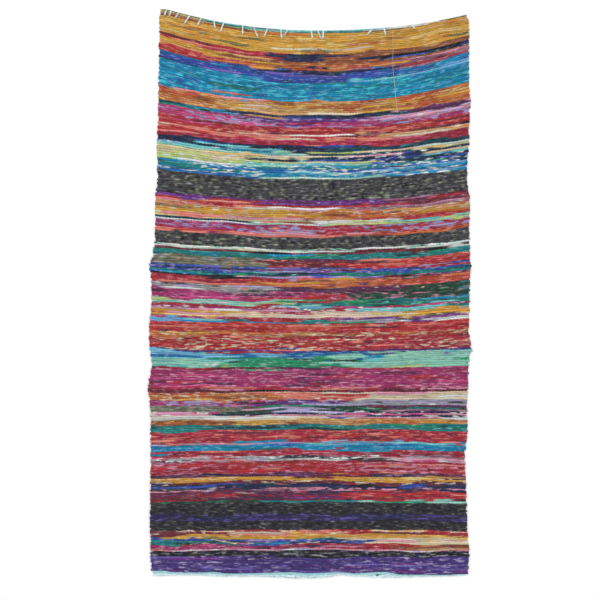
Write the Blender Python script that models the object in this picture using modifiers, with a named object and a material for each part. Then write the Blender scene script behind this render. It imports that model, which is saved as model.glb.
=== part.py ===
# Rag rug: a flat, weft-faced rug woven from torn fabric strips over white cotton warps.
# Metres, +Z up. The rug lies face up: its width runs along X and its length along Y.
# The origin is at the middle of the rug's box, on the surface that it lies on.

import math

import bmesh
import bpy

MM = 0.001

# Driving dimensions
HALF_LENGTH = 802.0 * MM      # from the middle of the rug to its furthest point, at either end
BODY_THICK = 6.0 * MM         # over the tops of the rag ribs
HEADING_THICK = 4.5 * MM      # cotton headings are thinner than the rags
HEADING_TOP_DEPTH = 6.0 * MM
PIECE_GAP = 0.3 * MM
EDGE_STEP = 14.0 * MM         # spacing of the outline's points
BODY_EDGE_FACES = 2           # faces around the roll of a woven edge
HEADING_EDGE_FACES = 1

# The top end dips between its corners, more on the left than on the right
TOP_DIP = 60.0 * MM           # the lowest place, below the left corner
TOP_DIP_CENTRE = 10.0 * MM    # X of the lowest place
TOP_DIP_RUN = 422.0 * MM
TOP_RISE = {"left": (62.5 * MM, 2.0), "right": (43.0 * MM, 2.3)}   # rise over that run, and its power

# Edge roll of the woven pieces
BODY_ROUND = 2.0 * MM
HEADING_ROUND = 1.2 * MM

# Row of white warp ends knotted along the top
RAIL_RADIUS = 1.5 * MM
RAIL_HEIGHT = 1.8 * MM
TUFT_RADIUS = 1.4 * MM
TUFT_LIE = 7.9 * MM           # height of a tuft's middle where it lies on the face
TUFT_END_SWELL = 1.25

# Selvedges: how far each side reaches from the middle line, by distance from the top corners
SIDES = [
    dict(down=0, left=423, right=444),
    dict(down=40, left=425, right=451),
    dict(down=140, left=426, right=451),
    dict(down=250, left=428, right=452),
    dict(down=262, left=429, right=457),
    dict(down=280, left=428, right=452),
    dict(down=394, left=432, right=451),
    dict(down=425, left=431, right=446),
    dict(down=480, left=430, right=446),
    dict(down=530, left=436, right=453),
    dict(down=650, left=437, right=453),
    dict(down=700, left=444, right=454),
    dict(down=726, left=453, right=458),
    dict(down=760, left=448, right=454),
    dict(down=815, left=447, right=453),
    dict(down=900, left=454, right=450),
    dict(down=953, left=453, right=456),
    dict(down=1000, left=446, right=451),
    dict(down=1074, left=458, right=448),
    dict(down=1110, left=452, right=446),
    dict(down=1180, left=450, right=447),
    dict(down=1265, left=449, right=440),
    dict(down=1350, left=451, right=443),
    dict(down=1450, left=451, right=446),
    dict(down=1540, left=450, right=452),
    dict(down=1590, left=446, right=447),
]

# Lower end, from left to right: heights over its lowest point of the rags' edge and of the
# heading's free edge
LOWER_END = [
    dict(across=-446, rags=28, free=10),
    dict(across=-415, rags=24, free=8),
    dict(across=-377, rags=20, free=10),
    dict(across=-302, rags=19, free=10),
    dict(across=-274, rags=21, free=8),
    dict(across=-226, rags=16, free=6),
    dict(across=-152, rags=17, free=7),
    dict(across=-72, rags=20, free=3),
    dict(across=-39, rags=20, free=0),
    dict(across=0, rags=16, free=1),
    dict(across=44, rags=19, free=4),
    dict(across=80, rags=20, free=10),
    dict(across=128, rags=17, free=6),
    dict(across=206, rags=21, free=3),
    dict(across=268, rags=13, free=4),
    dict(across=330, rags=13, free=6),
    dict(across=392, rags=13, free=7),
    dict(across=449, rags=17, free=11),
]

# White warp ends that lie back over the face, by where they leave the top edge
TUFTS = [
    dict(across=-402, reach=14, lean=-5),
    dict(across=-389, reach=12, lean=-4),
    dict(across=-368, reach=13, lean=-8),
    dict(across=-337, reach=20, lean=-13),
    dict(across=-305, reach=17, lean=-8),
    dict(across=-268, reach=19, lean=2),
    dict(across=-241, reach=22, lean=-8),
    dict(across=-188, reach=22, lean=0),
    dict(across=-157, reach=25, lean=11),
    dict(across=-118, reach=20, lean=-8),
    dict(across=-81, reach=23, lean=3),
    dict(across=-61, reach=12, lean=-9),
    dict(across=5, reach=19, lean=3),
    dict(across=23, reach=19, lean=8),
    dict(across=39, reach=19, lean=-1),
    dict(across=178, reach=14, lean=-14),
    dict(across=209, reach=17, lean=5),
    dict(across=289, reach=9, lean=6),
]


def clear_scene():
    for thing in list(bpy.data.objects):
        bpy.data.objects.remove(thing, do_unlink=True)


def make_collection(name):
    group = bpy.data.collections.new(name)
    bpy.context.scene.collection.children.link(group)
    return group


def make_material(name, colour, roughness):
    material = bpy.data.materials.new(name)
    material.use_nodes = True
    shader = material.node_tree.nodes["Principled BSDF"]
    shader.inputs["Base Color"].default_value = (*colour, 1.0)
    shader.inputs["Roughness"].default_value = roughness
    shader.inputs["Metallic"].default_value = 0.0
    return material


# ---- the rug's outline ----

def between_rows(rows, key, place, column):
    """A column's value at a place between a table's rows, eased from row to row."""
    if place <= rows[0][key]:
        return rows[0][column] * MM
    for before, after in zip(rows, rows[1:]):
        if place <= after[key]:
            share = (place - before[key]) / (after[key] - before[key])
            ease = share * share * (3.0 - 2.0 * share)
            return (before[column] + (after[column] - before[column]) * ease) * MM
    return rows[-1][column] * MM


def side_reach(side, y):
    """How far a selvedge reaches from the middle line at a height y, in metres."""
    return between_rows(SIDES, "down", (HALF_LENGTH - y) / MM, side)


def top_edge(x):
    """The free edge of the top end. The corner at the left is the highest, and blunt."""
    rise, power = TOP_RISE["left" if x < TOP_DIP_CENTRE else "right"]
    share = abs(x - TOP_DIP_CENTRE) / TOP_DIP_RUN
    return HALF_LENGTH - TOP_DIP + min(rise * share ** power, TOP_DIP)


def bottom_edge(x):
    """The lower end of the rags, where the lower heading starts."""
    return -HALF_LENGTH + between_rows(LOWER_END, "across", x / MM, "rags")


def heading_free_edge(x):
    """The lower heading's own free edge."""
    return -HALF_LENGTH + between_rows(LOWER_END, "across", x / MM, "free")


def across(edge, x_from, x_to, offset=0.0):
    """Points along an end of the rug, from one side to the other."""
    count = max(2, round(abs(x_to - x_from) / EDGE_STEP))
    points = []
    for step in range(count + 1):
        x = x_from + (x_to - x_from) * step / count
        points.append((x, edge(x) + offset))
    return points


def along(side, y_from, y_to):
    """Points along a selvedge, without its two corners."""
    sign = -1.0 if side == "left" else 1.0
    count = max(2, round(abs(y_to - y_from) / EDGE_STEP))
    points = []
    for step in range(1, count):
        y = y_from + (y_to - y_from) * step / count
        points.append((sign * side_reach(side, y), y))
    return points


def flat_piece(name, outline, thick, rounding, edge_faces, material, group):
    """A flat woven piece on the surface: a filled outline with soft edges."""
    curve = bpy.data.curves.new(name, "CURVE")
    curve.dimensions = "2D"
    curve.fill_mode = "BOTH"
    curve.extrude = thick / 2.0
    spline = curve.splines.new("POLY")
    spline.points.add(len(outline) - 1)
    for point, (x, y) in zip(spline.points, outline):
        point.co = (x, y, 0.0, 1.0)
    spline.use_cyclic_u = True
    piece = bpy.data.objects.new(name, curve)
    piece.location.z = thick / 2.0
    group.objects.link(piece)
    piece.data.materials.append(material)
    weld = piece.modifiers.new("Weld", "WELD")
    weld.merge_threshold = 0.00005
    bevel = piece.modifiers.new("Bevel", "BEVEL")
    bevel.width = rounding
    bevel.segments = edge_faces
    bevel.limit_method = "ANGLE"
    bevel.angle_limit = math.radians(60.0)
    return piece


# ---- the pieces ----

def make_woven_body(group, material):
    inset = RAIL_RADIUS * 2.0 + PIECE_GAP + HEADING_TOP_DEPTH + PIECE_GAP
    left_top = -side_reach("left", HALF_LENGTH - inset)
    right_top = side_reach("right", top_edge(SIDES[1]["right"] * MM) - inset)
    left_low = -side_reach("left", -HALF_LENGTH)
    right_low = side_reach("right", -HALF_LENGTH)
    top = across(top_edge, left_top, right_top, -inset)
    low = across(bottom_edge, right_low, left_low)
    right = along("right", top[-1][1], low[0][1])
    left = along("left", low[-1][1], top[0][1])
    outline = top + right + low + left
    return flat_piece("woven_body", outline, BODY_THICK, BODY_ROUND, BODY_EDGE_FACES, material, group)


def make_heading_top(group, material):
    outer = RAIL_RADIUS * 2.0 + PIECE_GAP
    inner = outer + HEADING_TOP_DEPTH
    left = -side_reach("left", HALF_LENGTH) + 2.0 * MM
    right = side_reach("right", top_edge(SIDES[0]["right"] * MM)) - 2.0 * MM
    upper = across(top_edge, left, right, -outer)
    lower = across(top_edge, right, left, -inner)
    return flat_piece("heading_top", upper + lower, HEADING_THICK, HEADING_ROUND,
                      HEADING_EDGE_FACES, material, group)


def make_heading_end(group, material):
    left = -side_reach("left", -HALF_LENGTH) + 3.0 * MM
    right = side_reach("right", -HALF_LENGTH) - 3.0 * MM
    upper = across(bottom_edge, left, right, -PIECE_GAP)
    lower = across(heading_free_edge, right, left)
    return flat_piece("heading_end", upper + lower, HEADING_THICK, HEADING_ROUND,
                      HEADING_EDGE_FACES, material, group)


def tube(name, points, radius, group, radii=None):
    """A round strand through the points, closed at both ends, as a welded mesh."""
    curve = bpy.data.curves.new(name, "CURVE")
    curve.dimensions = "3D"
    curve.bevel_depth = radius
    curve.bevel_resolution = 2
    curve.use_fill_caps = True
    spline = curve.splines.new("POLY")
    spline.points.add(len(points) - 1)
    for index, (point, place) in enumerate(zip(spline.points, points)):
        point.co = (*place, 1.0)
        if radii:
            point.radius = radii[index]
    strand = bpy.data.objects.new(name + "_path", curve)
    group.objects.link(strand)
    evaluated = strand.evaluated_get(bpy.context.evaluated_depsgraph_get())
    mesh = bpy.data.meshes.new_from_object(evaluated)
    mesh.name = name
    shape = bmesh.new()
    shape.from_mesh(mesh)
    bmesh.ops.remove_doubles(shape, verts=shape.verts, dist=0.00001)
    shape.to_mesh(mesh)
    shape.free()
    piece = bpy.data.objects.new(name, mesh)
    piece.matrix_world = strand.matrix_world
    group.objects.link(piece)
    bpy.data.objects.remove(strand, do_unlink=True)
    return piece


def tuft_points(row):
    """A warp end: up out of the rail, over the heading, then flat on the face."""
    reach = row["reach"] * MM
    lean = row["lean"] * MM
    x = row["across"] * MM
    start = top_edge(x) - RAIL_RADIUS
    rise = [
        (-0.2 * MM, RAIL_HEIGHT),
        (-0.3 * MM, 4.4 * MM),
        (0.9 * MM, 6.9 * MM),
        (3.4 * MM, TUFT_LIE),
        (reach * 0.55, TUFT_LIE + 0.3 * MM),
        (reach, TUFT_LIE),
    ]
    points = []
    for inward, height in rise:
        share = max(inward, 0.0) / reach
        points.append((x + lean * share, start - inward, height))
    return points


def make_warp_tufts(group, cutters, material):
    left = -side_reach("left", HALF_LENGTH) + 4.0 * MM
    right = side_reach("right", top_edge(SIDES[0]["right"] * MM)) - 4.0 * MM
    rail_points = [(x, y, RAIL_HEIGHT) for x, y in across(top_edge, left, right, -RAIL_RADIUS)]
    comb = tube("warp_tufts", rail_points, RAIL_RADIUS, group)
    comb.data.materials.append(material)
    for number, row in enumerate(TUFTS):
        points = tuft_points(row)
        radii = [1.0] * (len(points) - 1) + [TUFT_END_SWELL]
        tooth = tube("tuft_%02d" % number, points, TUFT_RADIUS, cutters, radii)
        tooth.hide_render = True
        tooth.display_type = "WIRE"
        joined = comb.modifiers.new("Tuft %02d" % number, "BOOLEAN")
        joined.operation = "UNION"
        joined.solver = "EXACT"
        joined.object = tooth
    return comb


def main():
    clear_scene()
    parts = make_collection("rag_rug")
    cutters = make_collection("rag_rug_cutters")
    rag = make_material("rag_strips", (0.24, 0.07, 0.14), 0.95)
    aqua = make_material("heading_cotton", (0.48, 0.70, 0.76), 0.9)
    teal = make_material("heading_cotton_top", (0.22, 0.45, 0.46), 0.9)
    white = make_material("warp_cotton", (0.80, 0.82, 0.80), 0.9)
    make_woven_body(parts, rag)
    make_heading_top(parts, teal)
    make_heading_end(parts, aqua)
    make_warp_tufts(parts, cutters, white)


main()
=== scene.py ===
import math
import random

import bmesh
import bpy
import numpy as np
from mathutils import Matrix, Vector, noise


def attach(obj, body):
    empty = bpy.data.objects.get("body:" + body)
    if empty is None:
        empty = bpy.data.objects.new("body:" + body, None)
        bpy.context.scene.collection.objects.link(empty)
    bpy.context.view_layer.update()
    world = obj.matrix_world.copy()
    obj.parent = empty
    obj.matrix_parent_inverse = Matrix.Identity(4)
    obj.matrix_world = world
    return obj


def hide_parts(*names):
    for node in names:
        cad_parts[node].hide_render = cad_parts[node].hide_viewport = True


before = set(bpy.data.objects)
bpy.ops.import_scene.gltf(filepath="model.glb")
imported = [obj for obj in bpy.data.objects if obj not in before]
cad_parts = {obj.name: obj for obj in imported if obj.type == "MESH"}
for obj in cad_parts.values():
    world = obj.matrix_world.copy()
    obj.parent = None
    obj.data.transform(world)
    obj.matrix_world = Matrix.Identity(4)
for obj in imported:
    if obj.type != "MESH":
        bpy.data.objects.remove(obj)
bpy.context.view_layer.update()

mm = 0.001
cm = 0.01

# The whole rug
rug = {
    "warpSpacing": 4.5 * mm,     # from one warp end to the next
    "sampleStep": 3.0 * mm,      # points along a pick
    "width": 900.0 * mm,
    "joinDrift": 0.7,            # how far a stripe's joins stray from even steps
    "mixedRags": 3,              # rags along a pick of a mixed stripe
    "uneven": 0.10,              # how much the girth differs from pick to pick
    "girthLimits": (0.75, 1.3),
    "stripeDrift": 4.2 * mm,     # how far whole stripes stray up and down, and over what run
    "stripeRun": 85.0 * mm,
    "pickDrift": 1.6 * mm,       # the same for each pick by itself
    "pickRun": 55.0 * mm,
    "topSettle": 12,             # picks over which the stripes fall in with the two ends
    "endSettle": 10,
    "overUnder": 0.36 * mm,      # how far a pick rises over a warp and dips under the next
    "middleHeight": 3.3 * mm,
}

# Which random line each thing follows
driftLines = {
    "stripes": 2.5,
    "picks": 9.5,
    "topYarn": 30.5,
    "topHeight": 40.5,
    "endYarn": 50.5,
    "endHeight": 60.5,
    "thread": 77.5,
    "threadHeight": 78.5,
}

# The outline, read from the part in slices as far apart as its points
edgeStep = 14.0 * mm
bodyPlaces = np.array([v.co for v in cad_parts["woven_body"].data.vertices])


def furthest(along, across, chosen, far):
    # the furthest place across, in slices along the other axis
    slices = np.round(bodyPlaces[chosen][:, along] / edgeStep).astype(int)
    places = bodyPlaces[chosen][:, across]
    keys = np.unique(slices)
    return keys * edgeStep, np.array([far(places[slices == key]) for key in keys])


# each side is read clear of the corners
bodyX = bodyPlaces[:, 0]
bodyY = bodyPlaces[:, 1]
leftRows, leftReach = furthest(1, 0, (bodyX < -0.3) & (bodyY > -0.765) & (bodyY < 0.78), np.min)
rightRows, rightReach = furthest(1, 0, (bodyX > 0.3) & (bodyY > -0.765) & (bodyY < 0.76), np.max)
topColumns, topReach = furthest(0, 1, (bodyY > 0.7) & (bodyX > -0.42) & (bodyX < 0.44), np.max)
endColumns, endReach = furthest(0, 1, (bodyY < -0.7) & (bodyX > -0.43) & (bodyX < 0.43), np.min)


def leftSide(y):
    return np.interp(y, leftRows, leftReach)


def rightSide(y):
    return np.interp(y, rightRows, rightReach)


def topEdge(x):
    return np.interp(x, topColumns, topReach)


def endEdge(x):
    return np.interp(x, endColumns, endReach)


def linear(channel):
    # a display value of 0 to 255 becomes a linear one of 0 to 1
    channel /= 255.0
    return channel / 12.92 if channel <= 0.04045 else ((channel + 0.055) / 1.055) ** 2.4


def rag(red, green, blue):
    return np.array([linear(red), linear(green), linear(blue)])


# Colours of the rags and yarns
dyes = {
    "gold": rag(202, 150, 54),
    "palegold": rag(222, 192, 118),
    "tan": rag(190, 142, 92),
    "orange": rag(184, 102, 48),
    "brown": rag(140, 82, 52),
    "rust": rag(176, 72, 50),
    "salmon": rag(214, 122, 108),
    "red": rag(168, 42, 50),
    "crimson": rag(160, 40, 60),
    "maroon": rag(104, 40, 54),
    "plum": rag(86, 42, 76),
    "magenta": rag(154, 48, 102),
    "hotpink": rag(196, 70, 128),
    "pink": rag(204, 140, 164),
    "mauve": rag(146, 98, 116),
    "purple": rag(106, 48, 124),
    "lilac": rag(168, 156, 198),
    "violet": rag(104, 88, 168),
    "indigo": rag(66, 48, 118),
    "royal": rag(46, 74, 158),
    "navy": rag(30, 40, 74),
    "blue": rag(24, 98, 162),
    "sky": rag(102, 166, 204),
    "turquoise": rag(4, 132, 172),
    "cyan": rag(72, 196, 214),
    "teal": rag(22, 118, 120),
    "darkteal": rag(22, 66, 76),
    "aqua": rag(104, 190, 192),
    "paleaqua": rag(166, 218, 226),
    "frost": rag(214, 236, 240),
    "mint": rag(138, 196, 178),
    "green": rag(32, 140, 100),
    "darkgreen": rag(34, 68, 54),
    "lime": rag(180, 196, 122),
    "lemon": rag(204, 200, 146),
    "olive": rag(114, 108, 66),
    "cream": rag(212, 196, 170),
    "white": rag(214, 220, 216),
    "grey": rag(146, 146, 152),
    "moss": rag(112, 116, 98),
    "charcoal": rag(64, 64, 67),
    "coal": rag(40, 40, 46),
    "ink": rag(50, 40, 90),
    "black": rag(28, 26, 36),
}

# The stripes, from the top end down, as a weaver would note them: how many picks, the rags from
# left to right, the colour of the printed flecks, and the share of the rag that they cover.
# After the word mixed, every pick takes rags of its own from those named.
stripes = [
    (1, "brown gold", "cream", 0.15),
    (4, "gold", "palegold", 0.25),
    (1, "gold palegold", "orange", 0.1),
    (2, "gold", "palegold", 0.2),
    (1, "gold cream gold", "orange", 0.15),
    (2, "gold", "palegold", 0.15),
    (3, "red navy brown", "violet", 0.12),
    (2, "gold brown navy", "pink", 0.1),
    (1, "gold orange brown", "palegold", 0.15),
    (3, "red orange mauve", "salmon", 0.2),
    (1, "blue navy red", "pink", 0.12),
    (3, "royal royal blue", "sky", 0.12),
    (2, "turquoise royal sky", "sky", 0.15),
    (10, "turquoise", "cyan", 0.26),
    (1, "salmon rust brown", "gold", 0.1),
    (6, "orange tan orange", "palegold", 0.22),
    (2, "teal navy plum", "lilac", 0.12),
    (2, "magenta purple pink", "lilac", 0.25),
    (3, "hotpink magenta", "lilac", 0.3),
    (4, "red", "salmon", 0.2),
    (1, "red cream maroon", "cream", 0.2),
    (2, "salmon red tan", "salmon", 0.2),
    (3, "crimson", "hotpink", 0.2),
    (3, "navy navy darkteal", "blue", 0.15),
    (7, "mixed mint navy lemon darkteal lime cream navy aqua", "white", 0.2),
    (7, "mixed turquoise aqua blue mint sky navy teal turquoise", "white", 0.25),
    (11, "charcoal", "grey", 0.22),
    (3, "purple purple maroon", "lilac", 0.12),
    (1, "red", "salmon", 0.1),
    (2, "salmon pink mauve", "cream", 0.22),
    (4, "gold gold orange", "cream", 0.2),
    (1, "salmon brown red", "pink", 0.2),
    (3, "mixed lime mint lemon navy white", "white", 0.15),
    (4, "magenta crimson", "lilac", 0.3),
    (2, "salmon rust", "salmon", 0.25),
    (6, "charcoal", "grey", 0.2),
    (2, "white", "mint", 0.25),
    (1, "maroon", "pink", 0.1),
    (3, "teal", "aqua", 0.12),
    (4, "moss maroon red", "salmon", 0.22),
    (3, "royal violet royal", "lilac", 0.2),
    (2, "teal navy teal", "aqua", 0.15),
    (1, "black lilac maroon", "pink", 0.2),
    (4, "crimson orange rust", "salmon", 0.25),
    (3, "grey plum darkgreen", "cream", 0.15),
    (5, "magenta crimson darkgreen", "pink", 0.22),
    (3, "mint green teal", "aqua", 0.15),
    (3, "mixed pink aqua magenta hotpink crimson", "white", 0.2),
    (3, "gold cream gold", "cream", 0.2),
    (1, "magenta purple", "pink", 0.2),
    (2, "sky teal grey", "lilac", 0.2),
    (5, "red", "salmon", 0.2),
    (2, "orange tan rust", "cream", 0.25),
    (7, "red red crimson", "cream", 0.25),
    (1, "indigo", "lilac", 0.12),
    (3, "sky blue mint", "mint", 0.15),
    (5, "mint green mint", "mint", 0.2),
    (1, "maroon magenta", "pink", 0.1),
    (9, "magenta", "pink", 0.22),
    (2, "crimson", "pink", 0.3),
    (1, "maroon black maroon", "crimson", 0.2),
    (4, "orange salmon cream", "cream", 0.22),
    (3, "magenta purple grey", "lilac", 0.3),
    (3, "mixed plum lilac moss darkgreen mauve", "grey", 0.2),
    (4, "mixed pink lilac white hotpink navy", "white", 0.25),
    (3, "orange tan orange", "palegold", 0.2),
    (3, "teal", "aqua", 0.15),
    (6, "crimson", "salmon", 0.25),
    (1, "pink sky", "grey", 0.3),
    (3, "turquoise", "sky", 0.2),
    (3, "crimson", "pink", 0.2),
    (3, "mixed pink navy grey mauve navy", "white", 0.25),
    (7, "crimson red crimson", "pink", 0.25),
    (2, "plum", "mauve", 0.25),
    (2, "gold", "cream", 0.2),
    (2, "maroon", "cream", 0.25),
    (2, "navy", "violet", 0.1),
    (2, "grey mauve plum", "pink", 0.3),
    (5, "maroon plum red", "crimson", 0.25),
    (1, "darkgreen teal mint", "green", 0.2),
    (6, "coal", "moss", 0.25),
    (4, "ink", "violet", 0.2),
    (5, "coal", "grey", 0.2),
    (2, "maroon salmon red", "cream", 0.3),
    (3, "gold", "palegold", 0.2),
    (3, "mixed cream navy teal rust royal", "cream", 0.2),
    (3, "magenta crimson brown", "pink", 0.2),
    (1, "pink", "white", 0.3),
    (3, "black", "grey", 0.35),
    (9, "indigo", "lilac", 0.2),
]

# How much higher than at the middle a stripe lies at the left and right selvedges, by how far
# it is below the top end, all in mm
dip = [
    (0, 62, 44),
    (150, 60, 58),
    (300, 33, 34),
    (600, 20, 24),
    (850, 5, 10),
    (1200, -8, -8),
    (1520, 3, 0),
]
bowCentre = 10 * mm
bowRun = 422 * mm


def bowShape(x):
    side = np.where(x < bowCentre, 0.0, 1.0)
    share = np.abs(x - bowCentre) / bowRun
    return side, np.where(side == 0.0, share ** 2.0, share ** 2.2)


def wander(seed, x, length, depth=0.0):
    # a smooth random line along x
    return np.array([noise.noise(Vector((place / length, depth, seed))) for place in x])


def joinsFor(count):
    # places across the rug where one rag gives way to the next: even steps, each a little off
    width = rug["width"]
    return [width * ((step + 1) / count - 0.5 + random.uniform(-0.5, 0.5) * rug["joinDrift"] / count)
            for step in range(count - 1)]


def picksOf(count, words, fleck, share):
    # the picks of one stripe: each has its girth, its rags, and the places of their joins
    rags = words.split()
    joins = joinsFor(len(rags))
    made = []
    for _ in range(count):
        if rags[0] == "mixed":
            own = random.sample(rags[1:], rug["mixedRags"])
            joins = joinsFor(len(own))
        else:
            own = rags
        made.append({
            "girth": float(np.clip(random.gauss(1.0, rug["uneven"]), *rug["girthLimits"])),
            "rags": own,
            "joins": joins,
            "fleck": fleck,
            "share": share,
            "fine": count == 1 or rags[0] == "mixed",
        })
    return made


print("laying out the picks")
random.seed(41)
columns = np.arange(-153, 154) * rug["sampleStep"] + 0.5 * rug["sampleStep"]
topLine = topEdge(columns)
endLine = endEdge(columns)
middle = np.argmin(np.abs(columns - bowCentre))

picks = []
for stripe in stripes:
    picks += picksOf(*stripe)
pickSize = (topLine[middle] - endLine[middle]) / sum(pick["girth"] for pick in picks)

side, bowCurve = bowShape(columns)
dipRows, dipLeft, dipRight = np.array(dip).T * mm
lines = []
below = 0.0
for number in range(len(picks) + 1):
    rise = np.where(side == 0.0, np.interp(below, dipRows, dipLeft), np.interp(below, dipRows, dipRight))
    line = topLine[middle] - below + rise * bowCurve
    # whole stripes stray together, and every pick a little by itself
    line = line + wander(driftLines["stripes"], columns, rug["stripeRun"], number * 0.16) * rug["stripeDrift"]
    own = wander(driftLines["picks"], columns, rug["pickRun"], number * 7.31) * rug["pickDrift"]
    lines.append(line + own)
    if number < len(picks):
        below += picks[number]["girth"] * pickSize
lines = np.array(lines)
# both ends of the stack follow the woven edges
topFix = topLine - lines[0]
endFix = endLine - lines[-1]
depth = np.arange(len(lines))[:, None]
lines += topFix[None, :] * np.clip(1.0 - depth / rug["topSettle"], 0.0, 1.0)
lines += endFix[None, :] * np.clip(1.0 - (len(lines) - 1 - depth) / rug["endSettle"], 0.0, 1.0)
middles = 0.5 * (lines[:-1] + lines[1:])
girths = 0.5 * (lines[:-1] - lines[1:])
print(len(picks), "picks, each about", round(float(pickSize) / mm, 1), "mm")


def link(tree, source, target):
    tree.links.new(source, target)


def addMath(tree, operation, first, second=None):
    node = tree.nodes.new("ShaderNodeMath")
    node.operation = operation
    for slot, value in enumerate((first, second)):
        if value is None:
            continue
        if isinstance(value, (int, float)):
            node.inputs[slot].default_value = value
        else:
            link(tree, value, node.inputs[slot])
    return node.outputs[0]


def namedValue(tree, name, kind="FLOAT"):
    node = tree.nodes.new("GeometryNodeInputNamedAttribute")
    node.data_type = kind
    node.inputs["Name"].default_value = name
    return node.outputs["Attribute"]


def newTree(name, inputs):
    tree = bpy.data.node_groups.new(name, "GeometryNodeTree")
    tree.interface.new_socket("Geometry", in_out="INPUT", socket_type="NodeSocketGeometry")
    for label, kind, value in inputs:
        socket = tree.interface.new_socket(label, in_out="INPUT", socket_type="NodeSocket" + kind)
        if value is not None:
            socket.default_value = value
    tree.interface.new_socket("Geometry", in_out="OUTPUT", socket_type="NodeSocketGeometry")
    given = tree.nodes.new("NodeGroupInput")
    result = tree.nodes.new("NodeGroupOutput")
    return tree, given.outputs, result.inputs["Geometry"]


def finishTree(tree, geometry, material, result):
    realize = tree.nodes.new("GeometryNodeRealizeInstances")
    paint = tree.nodes.new("GeometryNodeSetMaterial")
    link(tree, geometry, realize.inputs["Geometry"])
    link(tree, realize.outputs[0], paint.inputs["Geometry"])
    link(tree, material, paint.inputs["Material"])
    link(tree, paint.outputs[0], result)


def growFrom(name, mesh, tree, settings):
    # runs a tree on a mesh and keeps the result as a plain mesh
    guide = bpy.data.objects.new(name + "Guide", mesh)
    bpy.context.scene.collection.objects.link(guide)
    modifier = guide.modifiers.new("tree", "NODES")
    modifier.node_group = tree
    for item in tree.interface.items_tree:
        if item.in_out == "INPUT" and item.name in settings:
            modifier[item.identifier] = settings[item.name]
    evaluated = guide.evaluated_get(bpy.context.evaluated_depsgraph_get())
    grown = bpy.data.meshes.new_from_object(evaluated)
    guide.modifiers.remove(modifier)
    bpy.data.objects.remove(guide)
    grown.name = name
    piece = bpy.data.objects.new(name, grown)
    bpy.context.scene.collection.objects.link(piece)
    return piece


cloth = {
    "fleckLong": 42.0,       # streak fields: cycles in a metre along the strip and across it
    "fleckFine": 190.0,
    "highlightLong": 48.0,
    "highlightFine": 210.0,
    "foldLong": 34.0,
    "foldFine": 215.0,
    "highlightShare": 0.42,       # share of the strip given a painted pale highlight, where the sheeny folded cloth would catch the light
    "foldShadeShare": 0.27,       # share darkened with painted shade, as in the creases where the strip folds under
    "slant": 0.07,           # a twisted strip's streaks cross it at a low angle
    "foldShade": 0.46,
    "bump": 0.45,
    "bumpDepth": 0.8 * mm,
}


def ragMaterial(name):
    material = bpy.data.materials.new(name)
    material.use_nodes = True
    tree = material.node_tree
    shader = tree.nodes["Principled BSDF"]
    shader.inputs["Roughness"].default_value = 0.9
    shader.inputs["Specular IOR Level"].default_value = 0.2
    shader.inputs["Sheen Weight"].default_value = 0.1
    shader.inputs["Sheen Roughness"].default_value = 0.6

    def attribute(label):
        node = tree.nodes.new("ShaderNodeAttribute")
        node.attribute_name = label
        return node

    def streaks(long, fine, slant, shift, detail):
        # noise drawn out along the strip, from 0 to 1
        mapping = tree.nodes.new("ShaderNodeMapping")
        mapping.inputs["Scale"].default_value = (long, fine, fine)
        mapping.inputs["Location"].default_value = (shift, shift * 1.7, 0)
        mapping.inputs["Rotation"].default_value = (0, 0, slant)
        link(tree, attribute("weaveCoord").outputs["Vector"], mapping.inputs["Vector"])
        cloud = tree.nodes.new("ShaderNodeTexNoise")
        cloud.inputs["Scale"].default_value = 1.0
        cloud.inputs["Detail"].default_value = detail
        cloud.inputs["Roughness"].default_value = 0.55
        link(tree, mapping.outputs[0], cloud.inputs["Vector"])
        spread = tree.nodes.new("ShaderNodeMapRange")
        spread.inputs["From Min"].default_value = 0.30
        spread.inputs["From Max"].default_value = 0.70
        link(tree, cloud.outputs["Fac"], spread.inputs["Value"])
        return spread.outputs[0], cloud.outputs["Fac"]

    def above(field, limit, softness):
        over = addMath(tree, "SUBTRACT", field, limit)
        mask = addMath(tree, "DIVIDE", over, softness)
        mask.node.use_clamp = True
        return mask

    def mixed(factor, first, second):
        node = tree.nodes.new("ShaderNodeMix")
        node.data_type = "RGBA"
        link(tree, factor, node.inputs[0])
        link(tree, first, node.inputs[6])
        link(tree, second, node.inputs[7])
        return node.outputs[2]

    def scaled(colour, amount):
        node = tree.nodes.new("ShaderNodeVectorMath")
        node.operation = "SCALE"
        node.inputs["Scale"].default_value = amount
        link(tree, colour, node.inputs[0])
        return node.outputs[0]

    main = attribute("ragMain").outputs["Color"]
    highlightTint = attribute("ragHighlight").outputs["Color"]
    fleck = attribute("ragFleck").outputs["Color"]
    share = attribute("ragShare").outputs["Fac"]
    # painted highlight: pale streaks along the strip stand for light catching the sheeny folded cloth
    highlightField, _ = streaks(cloth["highlightLong"], cloth["highlightFine"], cloth["slant"], 3.1, 2.5)
    fade = above(highlightField, 1.0 - cloth["highlightShare"], 0.32)
    highlightedCloth = mixed(fade, main, highlightTint)
    fleckField, _ = streaks(cloth["fleckLong"], cloth["fleckFine"], -cloth["slant"], 11.7, 2.0)
    flecked = mixed(above(fleckField, addMath(tree, "SUBTRACT", 1.0, share), 0.30), highlightedCloth, fleck)
    # painted shade: dark streaks stand for the shade in the creases of the folded strip; the same noise also
    # drives the bump
    foldShadeField, foldRaw = streaks(cloth["foldLong"], cloth["foldFine"], cloth["slant"], 23.9, 2.5)
    foldShadeMask = above(foldShadeField, 1.0 - cloth["foldShadeShare"], 0.36)
    shadow = scaled(flecked, cloth["foldShade"])
    coloured = mixed(foldShadeMask, flecked, shadow)
    link(tree, coloured, shader.inputs["Base Color"])
    # crumpled cloth
    bump = tree.nodes.new("ShaderNodeBump")
    bump.inputs["Strength"].default_value = cloth["bump"]
    bump.inputs["Distance"].default_value = cloth["bumpDepth"]
    bump.invert = True
    link(tree, foldRaw, bump.inputs["Height"])
    link(tree, bump.outputs[0], shader.inputs["Normal"])
    return material


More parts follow.
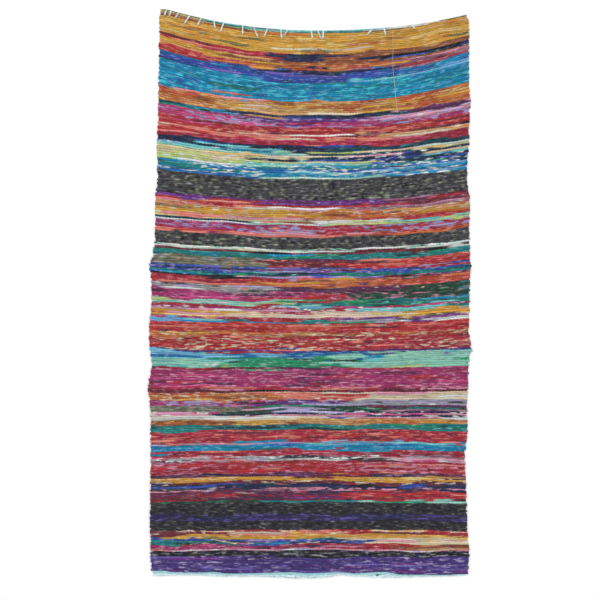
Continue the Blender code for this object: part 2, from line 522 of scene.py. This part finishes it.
weft = {
    "flatness": 0.42,        # thickness of a strip against its width
    "overlap": 1.24,         # strips crowd each other
    "swell": 0.05,           # fuller where the strip rides over a warp
    "crumple": 0.30,
    "twist": 1.3,            # turns the flat strip a little, in radians
    "sides": 4,
    "pieces": 5,
    "endsShort": (0.8, 5.0),  # how far inside the selvedge a pick turns back, in mm
    # rags that turn back in a lump at the right selvedge: their place up the rug, and how far they stand out
    "lumps": ((529 * mm, 3.5 * mm), (-43 * mm, 4.0 * mm), (-158 * mm, 4.0 * mm)),
    "lumpReach": 4.5 * mm,
}


def strandTree():
    # a strip of cloth along each line of points, over one warp and under the next
    tree, given, result = newTree("raggedStrand", [
        ("Flatness", "Float", 0.6),
        ("Overlap", "Float", 1.1),
        ("Swell", "Float", 0.15),
        ("Crumple", "Float", 0.1),
        ("Twist", "Float", 0.4),
        ("Over Under", "Float", 0.001),
        ("Warp Spacing", "Float", 0.005),
        ("Sides", "Int", 5),
        ("Seed", "Int", 3),
        ("Material", "Material", None),
    ])
    curve = tree.nodes.new("GeometryNodeMeshToCurve")
    link(tree, given["Geometry"], curve.inputs["Mesh"])
    position = tree.nodes.new("GeometryNodeInputPosition")
    split = tree.nodes.new("ShaderNodeSeparateXYZ")
    link(tree, position.outputs[0], split.inputs[0])
    turns = addMath(tree, "DIVIDE", split.outputs["X"], given["Warp Spacing"])
    # the warps stray a little from even spacing, together all down the rug
    stray = tree.nodes.new("ShaderNodeTexNoise")
    stray.inputs["Scale"].default_value = 1.0
    stray.inputs["Detail"].default_value = 2.0
    straySpread = tree.nodes.new("ShaderNodeVectorMath")
    straySpread.operation = "MULTIPLY"
    straySpread.inputs[1].default_value = (55.0, 12.0, 0.0)
    link(tree, position.outputs[0], straySpread.inputs[0])
    link(tree, straySpread.outputs[0], stray.inputs["Vector"])
    turns = addMath(tree, "ADD", turns, addMath(tree, "MULTIPLY", stray.outputs["Fac"], 3.0))
    phase = addMath(tree, "ADD", turns, namedValue(tree, "parity"))
    angle = addMath(tree, "MULTIPLY", phase, math.pi)
    wave = addMath(tree, "COSINE", angle)
    held = namedValue(tree, "held")
    lift = addMath(tree, "MULTIPLY", addMath(tree, "MULTIPLY", wave, given["Over Under"]), held)

    def cloud(scale, offset):
        node = tree.nodes.new("ShaderNodeTexNoise")
        node.noise_dimensions = "4D"
        node.inputs["Scale"].default_value = scale
        node.inputs["Detail"].default_value = 1.0
        ownPlace = addMath(tree, "MULTIPLY", namedValue(tree, "strand"), 3.7)
        seed = addMath(tree, "ADD", ownPlace, given["Seed"])
        link(tree, addMath(tree, "ADD", seed, offset), node.inputs["W"])
        link(tree, position.outputs[0], node.inputs["Vector"])
        return addMath(tree, "SUBTRACT", node.outputs["Fac"], 0.5)

    raised = tree.nodes.new("GeometryNodeSetPosition")
    offset = tree.nodes.new("ShaderNodeCombineXYZ")
    link(tree, lift, offset.inputs["Z"])
    link(tree, curve.outputs[0], raised.inputs["Geometry"])
    link(tree, offset.outputs[0], raised.inputs["Offset"])
    upright = tree.nodes.new("GeometryNodeSetCurveNormal")
    upright.mode = "Z_UP"
    link(tree, raised.outputs[0], upright.inputs["Curve"])
    tilted = tree.nodes.new("GeometryNodeSetCurveTilt")
    link(tree, upright.outputs[0], tilted.inputs["Curve"])
    link(tree, addMath(tree, "MULTIPLY", cloud(30.0, 1.3), given["Twist"]), tilted.inputs["Tilt"])
    # girth swells over the warps and crumples along the strip
    swell = addMath(tree, "MULTIPLY", wave, given["Swell"])
    crumple = addMath(tree, "MULTIPLY", cloud(48.0, 8.1), addMath(tree, "MULTIPLY", given["Crumple"], 4.0))
    factor = addMath(tree, "ADD", addMath(tree, "ADD", swell, crumple), given["Overlap"])
    girth = addMath(tree, "MULTIPLY", namedValue(tree, "girth"), factor)
    spine = tree.nodes.new("GeometryNodeCaptureAttribute")
    spine.capture_items.new("VECTOR", "Spine")
    link(tree, tilted.outputs[0], spine.inputs["Geometry"])
    link(tree, position.outputs[0], spine.inputs["Spine"])
    # the cut of the strip: flat, with rounded edges
    profile = tree.nodes.new("GeometryNodeCurvePrimitiveCircle")
    link(tree, given["Sides"], profile.inputs["Resolution"])
    profile.inputs["Radius"].default_value = 1.0
    squash = tree.nodes.new("GeometryNodeTransform")
    squashScale = tree.nodes.new("ShaderNodeCombineXYZ")
    squashScale.inputs["X"].default_value = 1.0
    squashScale.inputs["Z"].default_value = 1.0
    link(tree, given["Flatness"], squashScale.inputs["Y"])
    link(tree, profile.outputs["Curve"], squash.inputs["Geometry"])
    link(tree, squashScale.outputs[0], squash.inputs["Scale"])
    sweep = tree.nodes.new("GeometryNodeCurveToMesh")
    sweep.inputs["Fill Caps"].default_value = True
    link(tree, spine.outputs["Geometry"], sweep.inputs["Curve"])
    link(tree, squash.outputs[0], sweep.inputs["Profile Curve"])
    link(tree, girth, sweep.inputs["Scale"])
    # where each point lies along and across its own strip, for the cloth's pattern
    away = tree.nodes.new("ShaderNodeVectorMath")
    away.operation = "SUBTRACT"
    link(tree, position.outputs[0], away.inputs[0])
    link(tree, spine.outputs["Spine"], away.inputs[1])
    awaySplit = tree.nodes.new("ShaderNodeSeparateXYZ")
    link(tree, away.outputs[0], awaySplit.inputs[0])
    spineSplit = tree.nodes.new("ShaderNodeSeparateXYZ")
    link(tree, spine.outputs["Spine"], spineSplit.inputs[0])
    lane = namedValue(tree, "lane")
    coord = tree.nodes.new("ShaderNodeCombineXYZ")
    link(tree, spineSplit.outputs["X"], coord.inputs["X"])
    link(tree, addMath(tree, "ADD", lane, awaySplit.outputs["Y"]), coord.inputs["Y"])
    link(tree, awaySplit.outputs["Z"], coord.inputs["Z"])
    keep = tree.nodes.new("GeometryNodeStoreNamedAttribute")
    keep.data_type = "FLOAT_VECTOR"
    keep.inputs["Name"].default_value = "weaveCoord"
    link(tree, sweep.outputs[0], keep.inputs["Geometry"])
    link(tree, coord.outputs[0], keep.inputs["Value"])
    smooth = tree.nodes.new("GeometryNodeSetShadeSmooth")
    link(tree, keep.outputs[0], smooth.inputs["Geometry"])
    finishTree(tree, smooth.outputs[0], given["Material"], result)
    return tree


def strandGuide(name, strands):
    # one mesh of poly lines; each strand is a dictionary of arrays along its length
    starts = np.cumsum([0] + [len(s["points"]) for s in strands])
    points = np.concatenate([s["points"] for s in strands])
    edges = np.concatenate([
        np.stack([np.arange(a, b - 1), np.arange(a + 1, b)], axis=1) for a, b in zip(starts, starts[1:])])
    mesh = bpy.data.meshes.new(name)
    mesh.vertices.add(len(points))
    mesh.vertices.foreach_set("co", points.astype(np.float32).ravel())
    mesh.edges.add(len(edges))
    mesh.edges.foreach_set("vertices", edges.astype(np.int32).ravel())
    for key in ("girth", "held", "ragShare"):
        layer = mesh.attributes.new(key, "FLOAT", "POINT")
        layer.data.foreach_set("value", np.concatenate([s[key] for s in strands]).astype(np.float32))
    for key in ("parity", "strand", "lane"):
        layer = mesh.attributes.new(key, "FLOAT", "POINT")
        full = np.concatenate([np.full(len(s["points"]), float(s[key])) for s in strands])
        layer.data.foreach_set("value", full.astype(np.float32))
    for key in ("ragMain", "ragHighlight", "ragFleck"):
        layer = mesh.attributes.new(key, "FLOAT_COLOR", "POINT")
        colours = np.concatenate([s[key] for s in strands])
        full = np.concatenate([colours, np.ones((len(colours), 1))], axis=1)
        layer.data.foreach_set("color", full.astype(np.float32).ravel())
    mesh.update()
    return mesh


def softened(values, reach):
    # blends each point with its neighbours along the strip
    kernel = np.hanning(2 * reach + 3)[1:-1]
    padded = np.pad(values, ((reach, reach), (0, 0)), mode="edge")
    kernel = kernel / kernel.sum()
    return np.stack([np.convolve(column, kernel, mode="valid") for column in padded.T], axis=1)


speckledRags = ("charcoal", "coal", "black", "moss")

# cloths that turn up beside each cloth in the same band
kin = {
    "gold": "palegold orange tan gold olive gold",
    "palegold": "gold cream",
    "tan": "gold cream brown",
    "orange": "tan brown rust gold",
    "brown": "tan maroon orange",
    "rust": "orange red brown",
    "salmon": "pink red cream rust",
    "red": "crimson rust salmon maroon",
    "crimson": "red maroon salmon red",
    "maroon": "crimson black plum mauve",
    "plum": "maroon navy purple",
    "magenta": "magenta plum crimson hotpink",
    "hotpink": "magenta pink",
    "pink": "lilac salmon hotpink white",
    "mauve": "pink plum grey",
    "purple": "plum indigo purple",
    "lilac": "white pink violet",
    "violet": "royal lilac purple",
    "indigo": "violet purple indigo",
    "royal": "blue navy violet",
    "navy": "black royal darkteal",
    "blue": "turquoise royal sky",
    "sky": "blue aqua turquoise",
    "turquoise": "blue turquoise turquoise teal",
    "teal": "turquoise darkteal green",
    "darkteal": "navy teal",
    "aqua": "sky mint turquoise",
    "mint": "aqua green white lime",
    "green": "teal mint darkgreen",
    "darkgreen": "charcoal green teal",
    "lime": "lemon mint olive",
    "lemon": "cream lime palegold",
    "olive": "moss brown lime",
    "cream": "white palegold pink",
    "white": "white cream white",
    "grey": "lilac charcoal white",
    "moss": "charcoal grey olive",
    "charcoal": "charcoal black charcoal moss",
    "coal": "coal black charcoal",
    "ink": "indigo ink navy",
    "black": "charcoal navy black",
}

# How the rags vary along a pick
mixing = {
    "kin": 0.30,             # share of the stretches in a related cloth
    "neighbours": 0.20,      # share that come from a rag a pick or two away
    "joinSpread": 3.5,       # how far the joins stray along the picks, in cm
    "stretches": (6, 10, 16, 24, 36, 50),    # lengths of the stretches, in points along the pick
    "speckles": (1, 2, 2, 3, 4),             # the same in a speckled cloth
    "tones": (0.78, 1.18),
    "speckleTones": (0.62, 1.38),
    "fleckShares": (0.7, 2.1),
    "speckleShares": (0.5, 1.6),
    "tints": (0.92, 1.08),
    "softening": 4,
}


def nameAt(rags, joins, place):
    for name, join in zip(rags, joins):
        if place <= join:
            return name
    return rags[-1]


def strayed(pick):
    return [join + random.gauss(0, mixing["joinSpread"]) * cm for join in pick["joins"]]


def ragColours(number, pick, x):
    # walks along a pick, rag by rag, in stretches that are a little lighter, duller or warmer
    main = np.zeros((len(x), 3))
    fleckColour = np.zeros((len(x), 3))
    shares = np.zeros((len(x), 1))
    ends = strayed(pick)
    rowTone = random.uniform(0.90, 1.08)
    place = 0
    while place < len(x):
        here = nameAt(pick["rags"], ends, x[place])
        speckled = here in speckledRags
        stretchPoints = random.choice(mixing["speckles" if speckled else "stretches"])
        if speckled:
            fleckFactor = random.uniform(*mixing["speckleShares"])
        else:
            fleckFactor = random.choice(mixing["fleckShares"])
        tone = rowTone * random.uniform(*mixing["speckleTones" if speckled else "tones"])
        tint = np.array([random.uniform(*mixing["tints"]) for _ in range(3)])
        source, sourceEnds, swap = pick, ends, None
        chance = random.random()
        if chance < mixing["neighbours"] * (0.5 if pick["fine"] else 1.0) and not speckled:
            source = picks[min(len(picks) - 1, max(0, number + random.choice((-2, -1, 1, 2))))]
            sourceEnds = strayed(source)
        elif chance < mixing["neighbours"] + mixing["kin"] * (0.6 if pick["fine"] else 1.0):
            swap = random.choice(kin.get(here, here).split())
        for index in range(place, min(len(x), place + stretchPoints)):
            name = swap if swap else nameAt(source["rags"], sourceEnds, x[index])
            main[index] = dyes[name] * tint * tone
            fleckColour[index] = dyes[pick["fleck"]] * tone
            shares[index] = pick["share"] * fleckFactor
        place += stretchPoints
    main = softened(main, 1 if speckled else mixing["softening"])
    # painted highlight: the pale streak colour, weaker on a dark cloth than on a bright one
    brightest = main.max(axis=1, keepdims=True) + 0.02
    highlightStrength = np.minimum(1.0, brightest * 2.5)
    highlightTint = main * (1.0 - 0.5 * highlightStrength) + highlightStrength * (main / brightest * 0.30 + 0.11) + 0.02
    return main, highlightTint, softened(fleckColour, 1), softened(shares, 1)[:, 0]


print("colouring the rags")
strands = []
for number, pick in enumerate(picks):
    left = leftSide(middles[number][5])
    right = rightSide(middles[number][-5])
    # the selvedge height differs from the middle, so look it up again where the pick ends
    left = leftSide(np.interp(left, columns, middles[number])) + random.uniform(*weft["endsShort"]) * mm
    right = rightSide(np.interp(right, columns, middles[number])) - random.uniform(*weft["endsShort"]) * mm
    turnPlace = middles[number][-5]
    near = [out for place, out in weft["lumps"] if abs(turnPlace - place) < weft["lumpReach"]]
    lump = max(near, default=0.0)
    right += lump
    inside = (columns > left + 1.5 * mm) & (columns < right - 1.5 * mm)
    x = np.concatenate([[left], columns[inside], [right]])
    y = np.interp(x, columns, middles[number])
    girth = np.interp(x, columns, girths[number])
    z = np.full(len(x), rug["middleHeight"])
    held = np.ones(len(x))
    held[0] = held[-1] = 0.2
    girth[0] *= 0.8
    girth[-1] *= 1.1 if lump else 0.8
    main, highlightTint, fleckColour, shares = ragColours(number, pick, x)
    strands.append({
        "points": np.stack([x, y, z], axis=1),
        "girth": girth,
        "held": held,
        "parity": number % 2,
        "strand": number,
        "lane": middles[number][middle],
        "ragMain": main,
        "ragHighlight": highlightTint,
        "ragFleck": fleckColour,
        "ragShare": shares,
    })

ragCotton = ragMaterial("ragCotton")
ragStrand = strandTree()
weftPieces = []
perPiece = math.ceil(len(strands) / weft["pieces"])
for part in range(weft["pieces"]):
    chosen = strands[part * perPiece:(part + 1) * perPiece]
    guide = strandGuide(f"weftRags{part + 1}", chosen)
    piece = growFrom(f"weftRags{part + 1}", guide, ragStrand, {
        "Flatness": weft["flatness"],
        "Overlap": weft["overlap"],
        "Swell": weft["swell"],
        "Crumple": weft["crumple"],
        "Twist": weft["twist"],
        "Over Under": rug["overUnder"],
        "Warp Spacing": rug["warpSpacing"],
        "Sides": weft["sides"],
        "Seed": 5,
        "Material": ragCotton,
    })
    weftPieces.append(piece)
    print(piece.name, len(piece.data.polygons), "faces")


# The headings, in yarns from the free edge inwards, each with its colours from left to right
heading = {
    "topRim": "olive aqua teal aqua aqua white olive",
    "topYarns": (
        "lemon teal aqua teal white gold",
        "olive teal aqua teal brown gold",
        "gold lime gold olive gold",
    ),
    "topYarn": 1.1 * mm,
    "rim": 1.7 * mm,
    "rimHeight": 2.2 * mm,
    "rimGap": 0.3 * mm,
    "height": 2.5 * mm,
    "endYarns": 6,
    "endColours": ("paleaqua", "paleaqua", "paleaqua", "frost", "frost", "frost"),
    "knotPlace": 191 * mm,
}


# the first number of each kind of yarn, so that no two crumple alike
yarnNumbers = {
    "top": 400,
    "end": 420,
    "knot": 440,
    "rim": 500,
    "plies": 510,
    "frays": 700,
    "thread": 990,
}


def edgeLine(name, far, chosen):
    # the edge of a heading, as a function of the place across the rug
    places = np.array([v.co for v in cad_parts[name].data.vertices])
    places = places[chosen(places)]
    slices = np.round(places[:, 0] / edgeStep).astype(int)
    keys = np.unique(slices)
    reach = np.array([far(places[slices == key][:, 1]) for key in keys])
    return lambda x: np.interp(x, keys * edgeStep, reach)


headingOuter = edgeLine("heading_top", np.max, lambda p: p[:, 1] > 0)
headingFree = edgeLine("heading_end", np.min, lambda p: p[:, 1] < endEdge(p[:, 0]) - 4 * mm)


def yarn(points, girth, colourNames, number):
    # a plain strand with its own colours, for the same tree as the rags
    count = len(points)
    main = softened(np.array([dyes[name] for name in colourNames]), 2)
    toneLine = 1.0 + 0.5 * wander(number + 0.5, points[:, 0], 0.006, 3.1)
    main = main * toneLine[:, None]
    return {
        "points": points,
        "girth": np.broadcast_to(girth, count).astype(float),
        "held": np.zeros(count),
        "parity": 0,
        "strand": number,
        "lane": points[0, 1],
        "ragMain": main,
        # painted highlight colour for the yarn's pale streaks
        "ragHighlight": main * 0.6 + 0.25,
        "ragFleck": main * 0.5 + 0.35,
        "ragShare": np.full(count, 0.2),
    }


def namesAlong(words, x):
    names = words.split()
    joins = joinsFor(len(names))
    return [nameAt(names, joins, place) for place in x]


def yarnPiece(name, yarns, settings):
    made = growFrom(name, strandGuide(name, yarns), ragStrand, {
        "Flatness": 0.9, "Overlap": 1.0, "Swell": 0.0, "Crumple": 0.12, "Twist": 0.6, "Over Under": 0.0,
        "Warp Spacing": rug["warpSpacing"], "Sides": 6, "Seed": 9, **settings})
    print(name, len(made.data.polygons), "faces")
    return made


def makeHeadingTop(material):
    x = np.arange(-419, 442.1, 3.0) * mm
    yarns = []
    for row, words in enumerate(heading["topYarns"]):
        y = headingOuter(x) - (1.0 + 2.0 * row) * mm + wander(driftLines["topYarn"] + row, x, 0.03) * 0.9 * mm
        z = np.full(len(x), heading["height"]) + wander(driftLines["topHeight"] + row, x, 0.02) * 0.8 * mm
        line = np.stack([x, y, z], axis=1)
        yarns.append(yarn(line, heading["topYarn"], namesAlong(words, x), yarnNumbers["top"] + row))
    return yarnPiece("headingTopYarns", yarns, {"Material": material})


def makeHeadingEnd(material):
    x = np.arange(-441, 442.1, 3.0) * mm
    inner = endEdge(x) - 0.5 * mm
    free = headingFree(x) + 0.8 * mm
    depthLine = np.maximum(inner - free, 2.0 * mm)
    yarns = []
    for row in range(heading["endYarns"]):
        share = (row + 0.5) / heading["endYarns"]
        y = inner - depthLine * share + wander(driftLines["endYarn"] + row, x, 0.04) * 0.7 * mm
        z = np.full(len(x), heading["height"]) - 0.5 * mm * share
        z = z + wander(driftLines["endHeight"] + row, x, 0.03) * 0.5 * mm
        girth = depthLine / heading["endYarns"] / 2 * 1.25
        names = [heading["endColours"][row]] * len(x)
        yarns.append(yarn(np.stack([x, y, z], axis=1), girth, names, yarnNumbers["end"] + row))
    # a small dark knot where a thread was tied off
    knotX = heading["knotPlace"] + np.linspace(-4.5, 4.5, 9) * mm
    knotY = endEdge(knotX) - 8.5 * mm + np.linspace(-1.2, 0.8, 9) * mm
    knot = np.stack([knotX, knotY, np.full(9, 3.4 * mm)], axis=1)
    knotGirth = np.array([0.6, 1.2, 1.9, 2.3, 2.2, 1.9, 1.7, 1.1, 0.5]) * mm
    yarns.append(yarn(knot, knotGirth, ["darkteal"] * 9, yarnNumbers["knot"]))
    return yarnPiece("headingEndYarns", yarns, {"Material": material})


# Warp ends that lie back over the face: place, reach and lean in mm, as on the part
warp = {
    "ends": (
        (-402, 14, -5), (-389, 12, -4), (-368, 13, -8), (-337, 20, -13), (-305, 17, -8), (-268, 19, 2),
        (-241, 22, -8), (-188, 22, 0), (-157, 25, 11), (-118, 20, -8), (-81, 23, 3), (-61, 12, -9),
        (5, 19, 3), (23, 19, 8), (39, 19, -1), (178, 14, -14), (209, 17, 5), (289, 9, 6),
    ),
    "ply": 1.1 * mm,        # radius of one ply
    "plies": 3,
    "apart": 1.3 * mm,
    "lay": 16.0 * mm,        # one turn of the plies
    "lie": 8.0 * mm,         # height over the surface where they lie on the rags
    "frays": 6,
    "fraySpread": ((-0.9, 0.9), (-0.3, 0.3), (-0.15, 0.1)),
    # a pulled warp on the face: across, from, to, and how far it drifts, in mm
    "looseThread": (234, 745, 508, 15),
}


def resampled(points, step):
    lengths = np.concatenate([[0.0], np.cumsum(np.linalg.norm(np.diff(points, axis=0), axis=1))])
    places = np.linspace(0.0, lengths[-1], max(4, round(lengths[-1] / step)))
    even = np.stack([np.interp(places, lengths, points[:, i]) for i in range(3)], axis=1)
    smooth = softened(even, 2)
    smooth[0], smooth[-1] = even[0], even[-1]
    return smooth


def twisted(path, phase):
    # one ply, winding round the path
    tangent = np.gradient(path, axis=0)
    tangent /= np.linalg.norm(tangent, axis=1, keepdims=True)
    beside = np.cross(tangent, (0.37, 0.05, 0.93))
    beside /= np.linalg.norm(beside, axis=1, keepdims=True)
    over = np.cross(beside, tangent)
    run = np.concatenate([[0.0], np.cumsum(np.linalg.norm(np.diff(path, axis=0), axis=1))])
    turn = run / warp["lay"] * 2 * math.pi + phase
    return path + warp["apart"] * (np.cos(turn)[:, None] * beside + np.sin(turn)[:, None] * over)


def makeWarpEnds(material):
    yarns = []
    x = np.arange(-419, 442.1, 3.0) * mm
    rimLine = headingOuter(x) + heading["rimGap"] + heading["rim"]
    rim = np.stack([x, rimLine, np.full(len(x), heading["rimHeight"])], axis=1)
    yarns.append(yarn(rim, heading["rim"] * 0.97, namesAlong(heading["topRim"], x), yarnNumbers["rim"]))
    random.seed(67)
    for tuft, (across, reach, lean) in enumerate(warp["ends"]):
        across, reach, lean = across * mm, reach * mm, lean * mm
        start = headingOuter(across) + heading["rimGap"] + heading["rim"]
        rise = ((-0.2 * mm, 1.8 * mm), (-0.3 * mm, 4.4 * mm), (0.9 * mm, 6.9 * mm), (3.4 * mm, warp["lie"]),
                (reach * 0.55, warp["lie"] + 0.2 * mm), (reach, warp["lie"]))
        path = resampled(np.array([
            (across + lean * max(inward, 0.0) / reach, start - inward, z) for inward, z in rise]), 1.2 * mm)
        taper = np.interp(np.linspace(0, 1, len(path)), (0, 0.8, 1), (0.9, 1.1, 1.25))
        for ply in range(warp["plies"]):
            line = twisted(path, 2 * math.pi * ply / warp["plies"])
            tone = random.choice(("white", "white", "frost"))
            number = yarnNumbers["plies"] + tuft * 8 + ply
            yarns.append(yarn(line, warp["ply"] * taper, [tone] * len(line), number))
        # the cut end frays
        onward = path[-1] - path[-4]
        onward /= np.linalg.norm(onward)
        for fray in range(warp["frays"]):
            spread = np.array([random.uniform(*limits) for limits in warp["fraySpread"]])
            steps = np.linspace(0, 1, 5)[:, None]
            line = path[-2] + (onward + spread * steps) * steps * random.uniform(3.0, 6.5) * mm
            girth = np.linspace(0.5, 0.25, 5) * mm
            yarns.append(yarn(line, girth, ["white"] * 5, yarnNumbers["frays"] + tuft * 8 + fray))
    across, high, low, drift = warp["looseThread"]
    y = np.arange(high, low, -3.0) * mm
    fade = np.linspace(0.0, 1.0, len(y))
    x = (across + drift * fade ** 3) * mm + wander(driftLines["thread"], y, 0.05) * 2.0 * mm
    z = (6.6 - 1.4 * fade) * mm + wander(driftLines["threadHeight"], y, 0.012) * 0.9 * mm
    thread = yarn(np.stack([x, y, z], axis=1), 0.5 * mm, ["cream"] * len(y), yarnNumbers["thread"])
    yarns.append(thread)
    return yarnPiece("warpEnds", yarns, {"Material": material, "Crumple": 0.05, "Twist": 0.0, "Sides": 6})


print("making the headings and the warp ends")
headingTop = makeHeadingTop(ragMaterial("headingYarn"))
headingEnd = makeHeadingEnd(ragMaterial("headingCloth"))
warpEnds = makeWarpEnds(ragMaterial("warpYarn"))


# A closed dark sheet under the rags, painted shade that shows as shadow in the gaps between the picks
ground = {
    "thickness": 1.0 * mm,
    "height": 2.2 * mm,
    "inset": 7.0 * mm,
    "endInset": 1.5 * mm,
    "across": 64,
    "down": 120,
}


def groundMaterial():
    material = bpy.data.materials.new("groundShade")
    material.use_nodes = True
    tree = material.node_tree
    shader = tree.nodes["Principled BSDF"]
    shader.inputs["Roughness"].default_value = 0.95
    coords = tree.nodes.new("ShaderNodeTexCoord")
    cloud = tree.nodes.new("ShaderNodeTexNoise")
    cloud.inputs["Scale"].default_value = 60.0
    link(tree, coords.outputs["Object"], cloud.inputs["Vector"])
    ramp = tree.nodes.new("ShaderNodeValToRGB")
    # painted shade: near black, for the shadow between the picks
    ramp.color_ramp.elements[0].color = (0.020, 0.016, 0.022, 1)
    ramp.color_ramp.elements[1].color = (0.070, 0.050, 0.060, 1)
    link(tree, cloud.outputs["Fac"], ramp.inputs["Fac"])
    link(tree, ramp.outputs["Color"], shader.inputs["Base Color"])
    return material


def makeGroundShade():
    across = np.linspace(0.0, 1.0, ground["across"])
    down = np.linspace(0.0, 1.0, ground["down"])
    mesh = bmesh.new()
    layers = []
    for level in (ground["height"] + ground["thickness"], ground["height"]):
        rows = []
        for v in down:
            line = lines[0] * (1 - v) + lines[-1] * v
            row = []
            for u in across:
                x = -0.44 + 0.88 * u
                for _ in range(3):
                    y = np.interp(x, columns, line)
                    y = min(max(y, -0.77), 0.78)
                    lo = leftSide(y) + ground["inset"]
                    hi = rightSide(y) - ground["inset"]
                    x = lo + (hi - lo) * u
                y = np.interp(x, columns, line) - (1 - 2 * v) * ground["endInset"]
                row.append(mesh.verts.new((x, y, level)))
            rows.append(row)
        layers.append(rows)
    upper, lower = layers
    for i in range(len(down) - 1):
        for j in range(len(across) - 1):
            mesh.faces.new((upper[i][j], upper[i + 1][j], upper[i + 1][j + 1], upper[i][j + 1]))
            mesh.faces.new((lower[i][j], lower[i][j + 1], lower[i + 1][j + 1], lower[i + 1][j]))
    for i in range(len(down) - 1):
        mesh.faces.new((upper[i][0], lower[i][0], lower[i + 1][0], upper[i + 1][0]))
        mesh.faces.new((upper[i][-1], upper[i + 1][-1], lower[i + 1][-1], lower[i][-1]))
    for j in range(len(across) - 1):
        mesh.faces.new((upper[0][j], upper[0][j + 1], lower[0][j + 1], lower[0][j]))
        mesh.faces.new((upper[-1][j], lower[-1][j], lower[-1][j + 1], upper[-1][j + 1]))
    bmesh.ops.recalc_face_normals(mesh, faces=mesh.faces)
    data = bpy.data.meshes.new("rugGroundShade")
    mesh.to_mesh(data)
    mesh.free()
    data.materials.append(groundMaterial())
    piece = bpy.data.objects.new("rugGroundShade", data)
    bpy.context.scene.collection.objects.link(piece)
    return piece


print("making the ground")
rugGroundShade = makeGroundShade()


studio = {
    "floorSize": 12.0,
    "floorColour": (0.99, 0.99, 0.99, 1),
    "floorGlow": 0.06,
    "sky": 0.70,
    # name, place, width and power of each light
    "lights": (
        ("keyLight", (-1.6, 2.6, 3.2), 2.8, 68),
        ("fillLight", (2.4, -1.6, 3.0), 2.4, 22),
    ),
    "cameraPlace": (-26.7 * mm, -16.4 * mm, 3990.0 * mm),
    "lens": 85,
}


def makeFloor():
    mesh = bpy.data.meshes.new("floor")
    reach = studio["floorSize"] / 2
    corners = [(-reach, -reach, 0), (reach, -reach, 0), (reach, reach, 0), (-reach, reach, 0)]
    mesh.from_pydata(corners, [], [(0, 1, 2, 3)])
    floor = bpy.data.objects.new("floor", mesh)
    bpy.context.scene.collection.objects.link(floor)
    paint = bpy.data.materials.new("paleFloor")
    paint.use_nodes = True
    sockets = paint.node_tree.nodes["Principled BSDF"].inputs
    sockets["Base Color"].default_value = studio["floorColour"]
    sockets["Roughness"].default_value = 0.9
    sockets["Emission Color"].default_value = (1, 1, 1, 1)
    sockets["Emission Strength"].default_value = studio["floorGlow"]
    mesh.materials.append(paint)


def makeLight(name, place, width, power):
    # a square soft light, aimed at the middle of the rug
    light = bpy.data.lights.new(name, "AREA")
    light.shape = "SQUARE"
    light.size = width
    light.energy = power
    lamp = bpy.data.objects.new(name, light)
    lamp.location = place
    lamp.rotation_euler = (-Vector(place)).to_track_quat("-Z", "Y").to_euler()
    bpy.context.scene.collection.objects.link(lamp)


def makeStudio():
    makeFloor()
    world = bpy.data.worlds.new("studio")
    world.use_nodes = True
    world.node_tree.nodes["Background"].inputs["Color"].default_value = (1.0, 1.0, 1.0, 1)
    world.node_tree.nodes["Background"].inputs["Strength"].default_value = studio["sky"]
    bpy.context.scene.world = world
    for name, place, width, power in studio["lights"]:
        makeLight(name, place, width, power)
    view = bpy.data.cameras.new("overhead")
    view.lens = studio["lens"]
    camera = bpy.data.objects.new("overhead", view)
    camera.location = studio["cameraPlace"]
    bpy.context.scene.collection.objects.link(camera)
    bpy.context.scene.camera = camera
    bpy.context.scene.view_settings.view_transform = "Standard"


print("setting up the studio")
makeStudio()


print("handing over the pieces")
for piece in weftPieces:
    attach(piece, "root")
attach(rugGroundShade, "root")
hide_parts("woven_body")
endPieces = {
    "heading_top": (headingTop, "heading_cotton"),
    "heading_end": (headingEnd, "heading_cotton"),
    "warp_tufts": (warpEnds, "warp_cotton"),
}
for node, (piece, slotName) in endPieces.items():
    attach(piece, "root")
    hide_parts(node)
